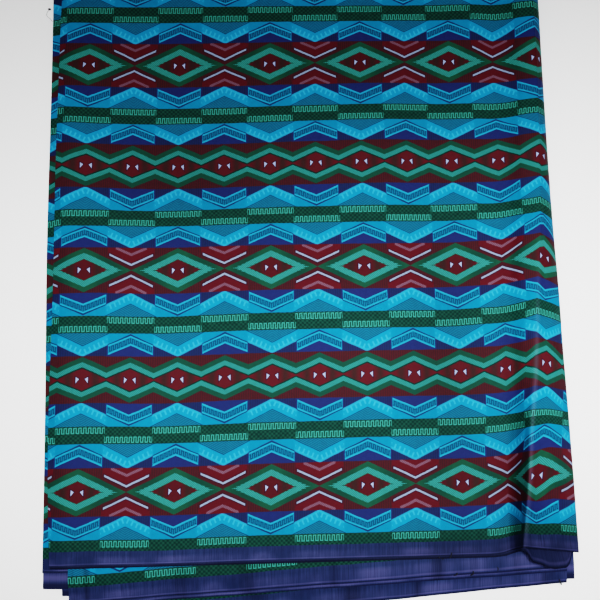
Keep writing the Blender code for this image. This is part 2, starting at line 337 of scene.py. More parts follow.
DYES = {
    "cyan": dye(20, 113, 150),
    "bright cyan": dye(28, 123, 163),
    "rim": dye(44, 138, 178),
    "comb": dye(64, 154, 196),
    "hatch": dye(33, 104, 129),
    "hatch line": dye(16, 64, 90),
    "chevron": dye(29, 109, 140),
    "navy": dye(35, 44, 70),
    "violet": dye(39, 48, 88),
    "red": dye(78, 33, 40),
    "bright red": dye(79, 30, 39),
    "heart red": dye(73, 31, 38),
    "dark red": dye(58, 36, 41),
    "olive": dye(48, 42, 40),
    "green": dye(28, 64, 55),
    "chain green": dye(30, 68, 58),
    "tip green": dye(33, 73, 59),
    "stripe": dye(32, 70, 61),
    "stripe dark": dye(18, 49, 46),
    "mint": dye(38, 98, 96),
    "mint light": dye(68, 136, 127),
    "squiggle": dye(64, 136, 126),
    "lilac": dye(122, 136, 160),
    "pink": dye(84, 58, 70),
    "pink light": dye(112, 84, 97),
    "white": dye(144, 156, 190),
    "selvedge": dye(34, 43, 70),
    "streak": dye(62, 76, 112),
    # Painted sheen, and a hem line darkened partly by painted shadow
    "painted lilac sheen": dye(84, 83, 122),
    "hem line and shadow": dye(29, 32, 54),
    "ink": dye(30, 24, 38),
    # The colour of the painted highlight along the ridge's crest
    "crest_highlight": dye(190, 186, 226),
}


def wire_noise(place, scale, detail, slice_place):
    """Soft noise between nothing and one over the flat cloth, a slice of its own for each use."""
    return place.node("ShaderNodeTexNoise", {"noise_dimensions": "4D"},
                      {"Vector": place, "W": slice_place, "Scale": scale, "Detail": detail}, output="Fac")


def serpentine(run, height, pitch, low, high, line):
    """Mask of a battlement line: uprights half a pitch apart, joined in turn at its top and at its foot."""
    half = pitch / 2
    step = run / half
    upright = abs(step - step.round()) * half
    turn = (run / pitch).fraction()
    level = low + (high - low) * (turn - 0.5).inside(0.01)
    bar = abs(height - level)
    body = (height - (low - line / 2)).least((high + line / 2) - height)
    return (line / 2 - upright.least(bar)).least(body).inside()


def wax_print():
    """The printed cotton: bands of diamonds between zigzag bands and green stripes, and a plain selvedge.

    Everything is mirrored about each band's middle line and about the columns of its chevrons, so the chart
    needs only the distances from these lines. Its numbers are millimetres of the cloth, or shares of a dye.
    """
    material = bpy.data.materials.new("wax_print")
    material.use_nodes = True
    tree = material.node_tree
    wire = Wire(tree)
    cut = wire.node("ShaderNodeUVMap", {"uv_map": "cut"}, {})
    apart = cut.node("ShaderNodeSeparateXYZ", {}, {0: cut})
    p = apart * 1000.0
    q = Wire(tree, apart.socket.node.outputs["Y"]) * 1000.0
    drift = wire_noise(cut, 45.0, 2.0, 0.0)
    wander = wire_noise(cut, 60.0, 2.0, 3.0)
    mottle = wire_noise(cut, 220.0, 4.0, 0.0)
    patchy = wire_noise(cut, 26.0, 2.0, 7.0)
    across = p + (drift - 0.5) * 1.0
    along = q + (wander - 0.5) * 1.0

    # The nearest band, the distances from its middle line, and those from the column of cyan chevrons
    band = (along - FIRST_BAND) / BAND_STEP
    number = band.round().most(0.0).least(10.0)
    signed = (band - number) * BAND_STEP
    d = abs(signed)
    small = abs(number.maths("MODULO", number, 2.0))
    s = ((across / REPEAT + small * 0.5).fraction() - 0.5) * REPEAT
    w = abs(s)
    x = REPEAT / 2 - w
    v_column = (COLUMN - w).inside()
    rib = (across * (2 * np.pi / 2.1)).cosine()
    ribs = (rib * 0.5 + 0.5) * 0.55

    # Large red band: a green diamond with a mint ring round a red diamond, and two pairs of V lines between
    colour = v_column.over(ribs.over(DYES["dark red"], DYES["red"]), DYES["bright red"])
    lilac_line = (20.4 - w).least(0.95 - abs(d - (5.0 + 0.46 * w)))
    below = v_column * (5.5 + 0.46 * w - d).inside(1.5)
    colour = (below * 0.7).over(colour, DYES["dark red"])
    colour = ((lilac_line + 0.9).inside(1.2) * 0.5).over(colour, DYES["ink"])
    colour = lilac_line.inside().over(colour, DYES["lilac"])
    pink_line = (14.6 - w).least(1.35 - abs(d - (14.5 + 0.44 * w)))
    slants = (((across + signed * 0.9) * (2 * np.pi / 1.6)).cosine() * 0.5 + 0.5)
    colour = pink_line.inside().over(colour, slants.over(DYES["pink"], DYES["pink light"]))
    ring = d + DIAMOND_SLOPE * x
    tips = ((x - 24.0) / 16.0).squared()
    colour = (20.7 - ring).inside().over(colour, tips.over(DYES["green"], DYES["tip green"]))
    point = (1.0 - d / 6.0).most(0.0)
    jags = (d * (2 * np.pi / 1.7)).cosine() * point * 0.9
    strokes = ((across + signed * 1.1) / 1.9).fraction()
    fine = (0.25 - abs(strokes - 0.5)).inside(0.2)
    ring_mask = (15.9 + jags - ring).least(ring - 10.3 - jags).inside()
    colour = ring_mask.over(colour, (fine * 0.75).over(DYES["mint"], DYES["mint light"]))
    heart = 9.9 - ring
    colour = heart.inside().over(colour, DYES["heart red"])
    patch = (3.6 - abs(x - 12.2)).inside(5.0) * heart.inside() * 0.7
    colour = patch.over(colour, DYES["olive"])
    large = colour

    # Small red band: a chain of red diamonds between mint zigzags, each with a green one outside it
    z = abs(x - COLUMN)
    rise = d - CHAIN_SLOPE * z
    colour = ribs.over(DYES["dark red"], DYES["red"])
    colour = (10.9 - rise).inside().over(colour, DYES["chain green"])
    colour = (6.2 - rise).inside().over(colour, (fine * 0.55).over(DYES["mint"], DYES["mint light"]))
    colour = (1.7 - rise).inside().over(colour, DYES["stripe dark"])
    chain = 0.5 - rise
    colour = chain.inside().over(colour, DYES["red"])
    near_middle = COLUMN - z
    patch = (3.4 - abs(near_middle - 12.0)).inside(5.0) * chain.inside() * 0.7
    colour = patch.over(colour, DYES["olive"])
    colour = small.over(large, colour)

    # Two small light marks in the middle of each diamond, narrow towards each other
    middle = small.maths("MULTIPLY_ADD", small, near_middle - x, x)
    mark = (middle - 2.6).least(5.3 - middle, 0.95 * (middle - 2.5) - abs(signed + 0.35 * (middle - 4.0)))
    colour = ((mark + 0.8).inside(0.8) * 0.7).over(colour, DYES["ink"])
    colour = mark.inside().over(colour, DYES["white"])

    # Zigzag band: cyan chevrons with a comb and a hatched triangle, and patterned chevrons between them
    b = d - RED_HALF
    blue = v_column.over(DYES["violet"], ribs.over(DYES["navy"], DYES["violet"]))
    leg = b - LEG_SLOPE * w
    inner_leg = (9.3 - leg).least(22.5 - w).inside(3.0)
    blue = leg.inside().over(blue, inner_leg.over(DYES["cyan"], DYES["bright cyan"]))
    rim = (1.1 - abs(leg - 0.6)).inside(1.0) * (22.5 - w).inside(2.0)
    blue = rim.over(blue, DYES["rim"])
    tooth = ((w + leg * 0.35) / 4.1 - 0.35).fraction()
    comb = (0.17 - abs(tooth - 0.5)).inside(0.15) * (leg - 1.2).least(5.8 - leg, 22.0 - w).inside(0.8)
    blue = (comb * 0.65).over(blue, DYES["comb"])
    hatch = b - 9.7 - 0.50 * w
    lines = ((hatch * (2 * np.pi / 1.6)).cosine() * 0.5 + 0.5) * 0.85
    blue = (hatch + 0.6).inside().over(blue, DYES["hatch line"])
    blue = hatch.inside().over(blue, lines.over(DYES["hatch"], DYES["hatch line"]))
    chevron = b + CHEVRON_SLOPE * x
    blue = (20.1 - chevron).least(chevron - 10.0, 20.9 - x).inside().over(blue, DYES["hatch line"])
    blue = (19.0 - chevron).least(chevron - 10.2, 20.7 - x).inside().over(blue, DYES["rim"])
    blue = (17.9 - chevron).least(chevron - 11.5, 20.6 - x).inside().over(blue, DYES["chevron"])
    battlement = serpentine(x, chevron, 3.5, 12.7, 16.7, 1.0) * (20.3 - x).inside()
    blue = battlement.over(blue, DYES["hatch line"])
    colour = b.inside().over(colour, blue)

    # Green stripe: dark scales, and a mint battlement line over every other column
    g = d - ZIGZAG_HALF
    scales = (across * (2 * np.pi / 4.1)).cosine() * (along * (2 * np.pi / 4.0)).cosine()
    scales = scales.maths("MULTIPLY_ADD", scales + (mottle - 0.5) * 1.6, 0.7, 0.5, clamp=True)
    stripe = scales.over(DYES["stripe dark"], DYES["stripe"])
    squiggle = serpentine(s + COLUMN, g, 4.17, 1.5, 6.4, 0.8) * (COLUMN - w).inside()
    stripe = squiggle.over(stripe, DYES["squiggle"])
    colour = g.inside().over(colour, stripe)

    # Plain selvedge on both sides of the cloth, with streaks in its weave and patches of painted sheen
    edge = q.least(CLOTH_WIDTH * 1000 - q)
    drawn = cut.node("ShaderNodeCombineXYZ", {}, {0: p * 1.3, 1: q * 0.05})
    streaks = (wire_noise(drawn, 1.0, 2.0, 5.0) * 5.0 - 2.4).inside(1.6)
    purple = (streaks * (patchy * 1.6 - 0.3).most(0.0) * 0.65).over(DYES["selvedge"], DYES["streak"])
    painted_sheen = (patchy * 5.0 - 2.6).inside(1.4) * (2.6 - abs(edge - 4.0)).inside(3.0)
    purple = (painted_sheen * (streaks * 0.35 + 0.25)).over(purple, DYES["painted lilac sheen"])
    # A painted highlight line just inside the edge
    purple = ((0.4 - abs(edge - 1.4)).inside(0.5) * (patchy * 1.6 - 0.35)).over(purple, DYES["painted lilac sheen"])
    # A dark hem line at the edge, partly real and partly painted shadow
    purple = ((0.6 - edge).inside(0.4) * 0.7).over(purple, DYES["hem line and shadow"])
    colour = (SELVEDGE - along.least(CLOTH_WIDTH * 1000 - along)).inside().over(colour, purple)

    # A painted highlight lies along the ridge's crest, stronger in patches
    crest_highlight = cut.node("ShaderNodeAttribute", {"attribute_name": "crest_highlight"}, {}, output="Fac")
    colour = (crest_highlight * (patchy + 0.4) * 0.048).over(colour, DYES["crest_highlight"])

    # The dyes are mottled, and painted light and shade make them lighter or darker in places
    shade = cut.node("ShaderNodeAttribute", {"attribute_name": "shade"}, {}, output="Fac")
    level = (mottle * 0.28 + 0.8425) * shade
    grey = cut.node("ShaderNodeCombineColor", {}, {0: level, 1: level, 2: level})
    multiply = {"data_type": "RGBA", "blend_type": "MULTIPLY"}
    dyed = cut.node("ShaderNodeMix", multiply, {0: 1.0, 6: colour, 7: grey}, output=2)

    # Threads of the weave, half a millimetre apart each way
    weave = (p * (2 * np.pi / 0.5)).cosine() + (q * (2 * np.pi / 0.5)).cosine()
    relief = {"Strength": 0.35, "Distance": 0.00006, "Height": weave + rib * 0.5}
    bump = cut.node("ShaderNodeBump", {}, relief, output="Normal")
    surface = tree.nodes["Principled BSDF"]
    tree.links.new(dyed.socket, surface.inputs["Base Color"])
    tree.links.new((mottle * 0.2 + 0.46).socket, surface.inputs["Roughness"])
    tree.links.new(bump.socket, surface.inputs["Normal"])
    surface.inputs["Specular IOR Level"].default_value = 0.05
    return material


printed = wax_print()
lowest_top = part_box("hidden_layers")[1][2]
panels = [panel_of(row, lowest_top / len(LOWEST)) for row in LOWEST]
grids = [doubled(panel, panels[:order], LOWEST_GRID) for order, panel in enumerate(panels)]
lowest_panels = cloth("lowest_panels", grids)
lowest_panels.data.materials.append(printed)
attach(lowest_panels, "root")
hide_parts("hidden_layers")


# The panels that show under the top one
# Doubled panels of the same cloth, laid a little out of line, so that folds show on the left and selvedges at
# the near side. The lower selvedge of each reaches out past the upper one.
SHOWN = {
    "sixth_panel": (-0.2245, -0.2220, 0.2370, 0.2350, -0.2832, -0.2779, 0.3010, 0.3040, 0.0012, 0.064),
    "fifth_panel": (-0.2420, -0.2388, 0.2382, 0.2350, -0.2764, -0.2796, 0.3030, 0.3010, 0.0016, 0.092),
    "fourth_panel": (-0.2425, -0.2392, 0.2285, 0.2270, -0.2622, -0.2622, 0.3090, 0.3090, 0.0010, 0.0737),
    "third_panel": (-0.2160, -0.2155, 0.2306, 0.2285, -0.3159, -0.2816, 0.2700, 0.2955, 0.0008, 0.019),
    "second_panel": (-0.2176, -0.2165, 0.2301, 0.2290, -0.2935, -0.2717, 0.2825, 0.3015, 0.0036, 0.0774),
}

# The height that each adds, how its print is stretched, shifted and tilted, how far its side bows out, and
# the height, length and start of the ripples along its selvedge
WALL, SECOND_WALL = 0.0010, 0.0013
PRINTS = {
    "second_panel": {"stretch": 0.965, "shift": 0.0048, "tilt": 0.012},
    "third_panel": {"shift": 0.0040},
    "fourth_panel": {"bow": 0.0018},
    "fifth_panel": {"bow": 0.0018, "shift": 0.0100},
    "sixth_panel": {"shift": 0.0100},
}
RIPPLES = {
    "third_panel": ((0.0005, 0.140, 0.6), (0.0003, 0.057, 2.1)),
    "second_panel": ((0.0006, 0.118, 1.9), (0.0003, 0.046, 0.4)),
}

# Creases across the selvedges: place, lean, width and depth of each trough, and how far it reaches inwards
CREASES = {
    "second_panel": (
        (-0.2135, 0.0, 0.0014, 0.0003, 0.09),
        (-0.2010, -0.01, 0.0018, 0.0009, 0.09),
        (-0.1170, 0.05, 0.0060, 0.0005, 0.05),
        (-0.0560, 0.00, 0.0070, 0.0006, 0.05),
        (0.0200, 0.00, 0.0040, 0.0005, 0.06),
        (0.1140, 0.03, 0.0060, 0.0008, 0.06),
        (0.1460, -0.02, 0.0040, 0.0003, 0.04),
        (0.1870, 0.06, 0.0060, 0.0004, 0.05),
    ),
    "third_panel": (
        (-0.2050, 0.0, 0.0018, 0.0005, 0.09),
        (-0.0500, 0.0, 0.0080, 0.0006, 0.06),
        (0.0360, 0.0, 0.0080, 0.0009, 0.06),
        (0.0965, 0.0, 0.0035, 0.0007, 0.06),
        (0.2120, 0.0, 0.0080, 0.0005, 0.05),
    ),
}
panels[-1]["pitch"] += CLEAR
layers = []
for name, row in SHOWN.items():
    wall = SECOND_WALL if name == "second_panel" else WALL
    panel = panel_of(row, wall + CLEAR, **PRINTS.get(name, {}))
    sheet = doubled(panel, panels, PANEL_GRID, RIPPLES.get(name, ()), CREASES.get(name, ()))
    piece = cloth(name.replace("panel", "layer"), [sheet])
    piece.data.materials.append(printed)
    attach(piece, "root")
    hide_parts(name)
    panels.append(panel)
    layers.append(piece)


# The top panel
# The end of the cloth: both plies run from the raw cut on the left over the pile, rise in a loose unpressed
# ridge on the right, and turn round under it to the second panel. The inner ply has slipped out at the near
# right corner.
TOP_WALL = 0.0012
UNDER_WALL = 0.0010

# At each y: the left edge, the ridge's foot, crest and height, the right fold, how far the crest bends the
# rows inwards and over what run, and how steeply the ridge rises
TOP_COLUMNS = ("y", "left", "foot", "crest", "height", "right", "bend", "run", "steep")
TOP_SECTIONS = (
    (-0.2557, -0.2350, 0.1785, 0.1875, 0.0195, 0.2411, 0.0076, 0.030, 1.0),
    (-0.2000, -0.2372, 0.1795, 0.1942, 0.0258, 0.2410, 0.0058, 0.045, 1.0),
    (-0.1500, -0.2380, 0.1815, 0.2004, 0.0210, 0.2405, 0.0050, 0.065, 0.8),
    (-0.1050, -0.2376, 0.1800, 0.2075, 0.0165, 0.2399, 0.0055, 0.080, 0.5),
    (-0.0650, -0.2365, 0.1770, 0.2115, 0.0160, 0.2393, 0.0060, 0.080, 0.3),
    (-0.0200, -0.2354, 0.1770, 0.2157, 0.0160, 0.2392, 0.0067, 0.080, 0.1),
    (0.0400, -0.2347, 0.1800, 0.2222, 0.0150, 0.2379, 0.0065, 0.080, 0.0),
    (0.1100, -0.2342, 0.1830, 0.2256, 0.0125, 0.2374, 0.0020, 0.080, 0.0),
    (0.2100, -0.2318, 0.1870, 0.2292, 0.0125, 0.2378, 0.0007, 0.080, 0.0),
    (0.2700, -0.2302, 0.1900, 0.2296, 0.0116, 0.2384, 0.0, 0.080, 0.0),
    (0.2950, -0.2291, 0.1912, 0.2292, 0.0112, 0.2381, 0.0, 0.080, 0.0),
    (0.3050, -0.2289, 0.1916, 0.2290, 0.0111, 0.2378, 0.0, 0.080, 0.0),
    (0.3133, -0.2287, 0.1920, 0.2288, 0.0110, 0.2376, 0.0, 0.080, 0.0),
)

# The section's knots: on the flat, up the ridge in shares of its run and height, down from its crest, and
# round the loose fold, back from it and below the top
FLAT_KNOTS = (-0.202, 0.0)
RIDGE_LEAD = 0.020
RISE = ((0.0, 0.0), (0.36, 0.26), (0.70, 0.80), (1.0, 1.0))
STEEP_RISE = ((0.0, 0.0), (0.40, 0.18), (0.78, 0.68), (1.0, 1.0))
FALL = ((0.24, 0.84), (0.60, 0.57), (0.87, 0.22))
TURN = ((0.0, 0.00095), (0.0010, 0.0030), (0.0036, 0.0038))
RETURN_END = 0.2306

# Steps between the knots, those that the inner ply has, and for each ply its rows and how much of their
# spacing is even and how much is close together at both ends
TOP_SPANS = (14, 38, 34, 8, 6, 8, 8, 8, 10, 9, 7, 4, 5, 5)
INNER_SPANS = sum(TOP_SPANS[:11]) - 2
OUTER_ROWS = (104, 0.7, 0.3)
INNER_ROWS = (56, 0.5, 0.5)
PLY_GAP = 0.00145

# The flat part ends at the ridge, and its edges drop a little
FLAT_END, FLAT_RUN = 0.165, 0.03
EDGE_DROP, EDGE_RUN = 0.0007, 0.030

# The inner ply's selvedge in plan, and how much of the ridge's height the ply has at each y
INNER_EDGE = (
    (-0.2390, -0.2584),
    (0.1660, -0.2580),
    (0.1770, -0.2568),
    (0.1850, -0.2532),
    (0.1900, -0.2520),
    (0.1945, -0.2560),
    (0.1975, -0.2625),
    (0.2060, -0.2650),
    (0.2120, -0.2682),
    (0.2180, -0.2692),
    (0.2290, -0.2685),
    (0.2330, -0.2640),
    (0.2345, -0.2560),
    (0.2410, -0.2540),
)
INNER_SETTLE = ((-0.2557, 0.40), (-0.2279, 0.72), (-0.2000, 0.90), (-0.1750, 1.0))

# How the cloth is drawn out of true, which the print shows. At each y: the distance from the selvedge at
# x = 0, how far the rows fall to the right, how far they sag left of the middle, a shift along them, the
# slack on the ridge, a wave across the middle, how far the rows rise at the left edge, on the ridge, at its
# foot and on its crest, and how far they move along at the crest and past it
PRINT_COLUMNS = ("y", "q", "fall", "sag", "shift", "slack", "wave", "edge", "ridge", "dip", "fold", "bump",
                 "pull")
PRINT_ROWS = (
    (-0.2557, 0.0, 0.0, 0.0006, 0.0010, 0.0054, 0.0, 0.0006, 0.0, 0.0, 0.0, 0.0050, 0.0),
    (-0.2440, 0.0103, 0.0, 0.0014, 0.0009, 0.0056, 0.0, 0.0005, 0.0006, -0.0004, -0.0018, 0.0054, 0.0),
    (-0.2200, 0.0353, 0.0, 0.0010, 0.0006, 0.0060, 0.0, 0.0003, 0.0018, -0.0008, -0.0038, 0.0046, -0.0024),
    (-0.1909, 0.0641, 0.0, 0.0012, 0.0002, 0.0058, 0.0001, 0.0001, 0.0010, -0.0003, -0.0046, 0.0038, -0.0050),
    (-0.1500, 0.1047, 0.0040, 0.0015, -0.0006, 0.0036, 0.0003, 0.0006, -0.0009, -0.0007, -0.0054, 0.0018,
     0.0006),
    (-0.1220, 0.1334, 0.0060, 0.0024, -0.0010, 0.0027, 0.0001, 0.0010, 0.0003, 0.0, -0.0024, 0.0026, 0.0036),
    (-0.0560, 0.1990, 0.0105, 0.0022, -0.0012, 0.0023, 0.0003, 0.0004, -0.0012, -0.0016, -0.0014, 0.0,
     0.0040),
    (-0.0240, 0.2314, 0.0130, 0.0030, -0.0006, 0.0014, 0.0001, 0.0010, -0.0004, -0.0014, 0.0, 0.0, 0.0020),
    (0.0121, 0.2669, 0.0150, 0.0023, -0.0003, 0.0010, 0.0001, 0.0008, -0.0009, -0.0013, 0.0018, 0.0, 0.0006),
    (0.0400, 0.2947, 0.0160, 0.0020, -0.0001, 0.0008, 0.0003, 0.0004, -0.0012, -0.0014, 0.0022, -0.0014, 0.0),
    (0.0730, 0.3286, 0.0170, 0.0034, 0.0001, 0.0006, 0.0009, 0.0002, -0.0004, -0.0010, 0.0014, -0.0010, 0.0),
    (0.1050, 0.3603, 0.0180, 0.0034, 0.0005, 0.0002, 0.0014, -0.0008, -0.0006, -0.0009, -0.0004, -0.0010,
     0.0),
    (0.1380, 0.3932, 0.0185, 0.0025, 0.0006, -0.0004, 0.0015, -0.0016, -0.0002, -0.0009, -0.0008, 0.0, 0.0),
    (0.1700, 0.4268, 0.0190, 0.0026, 0.0006, -0.0004, 0.0012, -0.0012, 0.0004, -0.0006, -0.0003, 0.0009, 0.0),
    (0.2020, 0.4586, 0.0200, 0.0026, 0.0006, 0.0002, 0.0009, -0.0014, 0.0006, -0.0008, 0.0004, 0.0008, 0.0),
    (0.2340, 0.4898, 0.0205, 0.0016, 0.0, 0.0008, 0.0004, -0.0006, 0.0010, -0.0012, 0.0004, 0.0004, 0.0),
    (0.3140, 0.5715, 0.0230, 0.0, 0.0, 0.0010, 0.0, 0.0, -0.0006, -0.0004, 0.0006, 0.0, 0.0),
)
PRINT_COLUMN = 0.0296
PRINT_LEAN = 0.0189
PRINT_MIDDLE = 0.0121
SAG_MIDDLE, SAG_WIDTH = -0.134, 0.060
WAVE_LOW, WAVE_HIGH, WAVE_WIDTH = -0.064, 0.075, 0.045
CREST_START, CREST_RUN, CREST_PULL = 0.196, 0.030, 0.0018
DIP_MIDDLE, DIP_WIDTH = 0.166, 0.022
FOLD_START, FOLD_RUN = 0.198, 0.022
BUMP_MIDDLE, BUMP_WIDTH = 0.196, 0.017
PULL_START, PULL_RUN = 0.214, 0.022
LEFT_PULL, LEFT_RUN = 0.0023, 0.045
RIGHT_PULL, RIGHT_START, RIGHT_RUN = 0.0014, 0.085, 0.045
FLANK_START, FLANK_RUN = 0.172, 0.030
# Where the painted highlight lies beside the crest: its shift and width, and where and over what run it fades
# out along y
CREST_HIGHLIGHT_SHIFT, CREST_HIGHLIGHT_WIDTH, CREST_HIGHLIGHT_END, CREST_HIGHLIGHT_RUN = 0.0010, 0.0019, 0.02, 0.12
INNER_DRAWN, INNER_DRAWN_RUN = 0.007, 0.012


def smooth(at, knots, values):
    """Cubic through knots that turns only at them: the slope there is the harmonic mean of both sides'."""
    step = np.diff(knots, axis=-1)
    slope = np.diff(values, axis=-1) / step
    before, after = slope[..., :-1], slope[..., 1:]
    same_way = before * after > 0
    mean = np.where(same_way, 2 * before * after / np.where(same_way, before + after, 1.0), 0.0)
    tangent = np.concatenate((slope[..., :1], mean, slope[..., -1:]), axis=-1)
    span = (at[..., :, None] >= knots[..., None, 1:-1]).sum(axis=-1)

    def pick(array):
        return np.take_along_axis(array, span, axis=-1)

    length = pick(step)
    t = (at - pick(knots)) / length
    start = (2 * t**3 - 3 * t**2 + 1) * pick(values) + (t**3 - 2 * t**2 + t) * length * pick(tangent)
    end = (3 * t**2 - 2 * t**3) * pick(values[..., 1:]) + (t**3 - t**2) * length * pick(tangent[..., 1:])
    return start + end


def section_lines(y, settle):
    """Outer line of the top panel over the stack at each y.

    Gives x, z, the arc length from x = 0, the bend of its rows in y, and the painted highlight beside the
    crest.
    """
    table = np.array(TOP_SECTIONS).T
    row = {name: smooth(y, table[0], values)[:, None] for name, values in zip(TOP_COLUMNS, table)}
    foot, crest, right = row["foot"], row["crest"], row["right"]
    height = row["height"] * settle[:, None]
    flat = np.zeros_like(foot)
    knots = [(row["left"], flat)] + [(flat + x, flat) for x in FLAT_KNOTS] + [(foot - RIDGE_LEAD, flat)]
    for (share, rise), (steep_share, steep_rise) in zip(RISE, STEEP_RISE):
        share = share + row["steep"] * (steep_share - share)
        knots.append((foot + share * (crest - foot), (rise + row["steep"] * (steep_rise - rise)) * height))
    knots += [(crest + share * (right - crest), rise * height) for share, rise in FALL]
    knots += [(right - back, flat - drop) for back, drop in TURN]
    knots += [(flat + RETURN_END, flat - TURN[-1][1])]
    knot_x = np.concatenate([x for x, z in knots], axis=1)
    knot_z = np.concatenate([z for x, z in knots], axis=1)
    chord = np.hypot(np.diff(knot_x), np.diff(knot_z))
    place = np.concatenate((flat, np.cumsum(chord, axis=1)), axis=1)
    span = np.repeat(np.arange(len(TOP_SPANS)), TOP_SPANS)
    share = np.concatenate([np.arange(count) / count for count in TOP_SPANS])
    at = place[:, span] + share * chord[:, span]
    at = np.concatenate((at, place[:, -1:]), axis=1)
    x, z = smooth(at, place, knot_x), smooth(at, place, knot_z)
    arc = np.concatenate((flat, np.cumsum(np.hypot(np.diff(x), np.diff(z)), axis=1)), axis=1)
    arc -= arc[:, [sum(TOP_SPANS[:2])]]
    rise = np.clip((x - crest) / row["run"] + 1, 0, 1) ** 3
    fall = np.clip((right - x) / (right - crest), 0, 1)
    return x, z, arc, row["bend"] * np.minimum(rise, fall), bell(x - crest - CREST_HIGHLIGHT_SHIFT, CREST_HIGHLIGHT_WIDTH)


def inward(x, z, depth):
    """Move section lines inwards, square to themselves: down from the top, in from the fold."""
    step_x, step_z = np.gradient(x, axis=1), np.gradient(z, axis=1)
    length = np.hypot(step_x, step_z)
    return x + depth * step_z / length, z - depth * step_x / length


def eased_in(distance, run):
    """One at an edge, easing to nothing over a run inwards."""
    share = 1 - np.clip(distance / run, 0, 1)
    return share * share * (3 - 2 * share)


# Soft folds on the flat: place, lean, width and height, and the middle and the run of each in y
SOFT_FOLDS = (
    (-0.0045, 0.012, 0.0040, 0.00035, 0.050, 0.110),
    (0.1365, -0.030, 0.0050, 0.00040, -0.120, 0.060),
    (0.0700, 0.020, 0.0060, 0.00030, -0.040, 0.090),
    (-0.1180, 0.010, 0.0055, 0.00028, 0.140, 0.090),
)

# Painted light and shade on the top ply: place, width each way, and by what share the dyes are lightened or
# darkened
SHADES = (
    (-0.105, 0.095, 0.080, 0.055, -0.17),
    (0.030, 0.180, 0.250, 0.055, -0.10),
    (-0.150, -0.120, 0.055, 0.120, 0.08),
    (0.030, -0.060, 0.090, 0.070, 0.08),
    (0.130, -0.100, 0.035, 0.140, -0.15),
    (0.215, -0.060, 0.035, 0.120, 0.06),
    (0.130, -0.254, 0.070, 0.014, -0.32),
    (0.186, -0.210, 0.016, 0.070, -0.30),
    (0.222, -0.260, 0.034, 0.028, -0.45),
)
# Painted shade over the whole inner ply, which shows only at the near right corner under the ridge
INNER_SHADE = 0.55


def row_places(near, far, count, even, close):
    """Rows from near to far: a share of their spacing is even, and a share is close together at both ends."""
    return near + (even * np.linspace(0, 1, count) + close * eased(count)) * (far - near)


def top_sheet():
    """Both plies of the top panel, as four grids: points, places on the flat cloth, painted highlight,
    painted shade.

    Rows run over the outer ply to the far fold, round it in a half circle, and over the inner ply back.
    """
    near, far = TOP_SECTIONS[0][0], TOP_SECTIONS[-1][0]
    outer_y = row_places(near, far, *OUTER_ROWS)
    inner_y = row_places(near, far, *INNER_ROWS)
    cover = UNDER_WALL + CLEAR + TOP_WALL

    x, z, arc, bend, crest_highlight = section_lines(outer_y, np.ones(len(outer_y)))
    crest_highlight = crest_highlight * np.clip((CREST_HIGHLIGHT_END - outer_y) / CREST_HIGHLIGHT_RUN, 0, 1)[:, None]
    y = outer_y[:, None] + bend
    z = z + stack(panels, x, np.broadcast_to(outer_y[:, None], x.shape), open_right=True) + cover
    x, z = inward(x, z, PLY / 2)
    flatness = 1 - np.clip((x - FLAT_END) / FLAT_RUN, 0, 1)
    z -= EDGE_DROP * flatness * np.maximum(eased_in(y - near, EDGE_RUN), eased_in(x - x[:, :1], EDGE_RUN))
    for place, lean, width, height, middle, run in SOFT_FOLDS:
        line = x - place - lean * (y - middle) / run
        z += height * bell(line, width) * bell(y - middle, run) * flatness
    outer = np.stack((x, y, z), axis=-1)
    outer_cut = np.stack(print_place(x, outer_y[:, None], arc), axis=-1)

    settle_y, settle = np.array(INNER_SETTLE).T
    x, z, arc, bend = section_lines(inner_y, np.interp(inner_y, settle_y, settle))[:4]
    edge_x, edge_y = np.array(INNER_EDGE).T
    slip = np.interp(x, edge_x, edge_y) - near - bend[:1]
    y = inner_y[:, None] + bend + slip * eased_in(inner_y - near, settle_y[-1] - near)[:, None]
    z = z + stack(panels, x, np.broadcast_to(inner_y[:, None], x.shape), open_right=True) + cover
    x, z = inward(x, z, PLY_GAP)
    index = np.linspace(0, INNER_SPANS, x.shape[1])
    low = np.floor(index).astype(int)
    part = index - low

    def shortened(array):
        return array[:, low] * (1 - part) + array[:, np.minimum(low + 1, array.shape[1] - 1)] * part

    inner = np.stack([shortened(array) for array in (x, y, z)], axis=-1)
    p, q = print_place(inner[..., 0], inner_y[:, None], shortened(arc))
    q = q - INNER_DRAWN * np.clip(q / INNER_DRAWN_RUN, 0, 1)
    inner_cut = np.stack((p, CLOTH_WIDTH - q), axis=-1)

    turn = np.linspace(0, np.pi, FOLD_ROWS + 2)[1:-1, None, None]
    middle = (outer[-1] + inner[-1]) / 2
    fold = middle + (outer[-1] - middle) * np.cos(turn) + np.array((0, PLY_GAP / 2, 0)) * np.sin(turn)
    share = (1 - np.cos(turn)) / 2
    fold_cut = outer_cut[-1] * (1 - share) + inner_cut[-1] * share
    grid = np.concatenate((outer, fold, inner[::-1]))
    cut = np.concatenate((outer_cut, fold_cut, inner_cut[::-1]))
    # Painted highlight on the outer ply's crest; painted shade on the inner ply, and spots of painted light
    # and shade on the outer one
    crest_highlights = np.zeros(grid.shape[:2])
    crest_highlights[:len(crest_highlight)] = crest_highlight
    shade = np.full(grid.shape[:2], INNER_SHADE)
    shade[:len(crest_highlight)] = 1.0
    plan_x, plan_y = outer[..., 0], outer[..., 1]
    for place_x, place_y, run_x, run_y, depth in SHADES:
        shade[:len(crest_highlight)] += depth * bell(plan_x - place_x, run_x) * bell(plan_y - place_y, run_y)
    return grid, cut, crest_highlights, shade


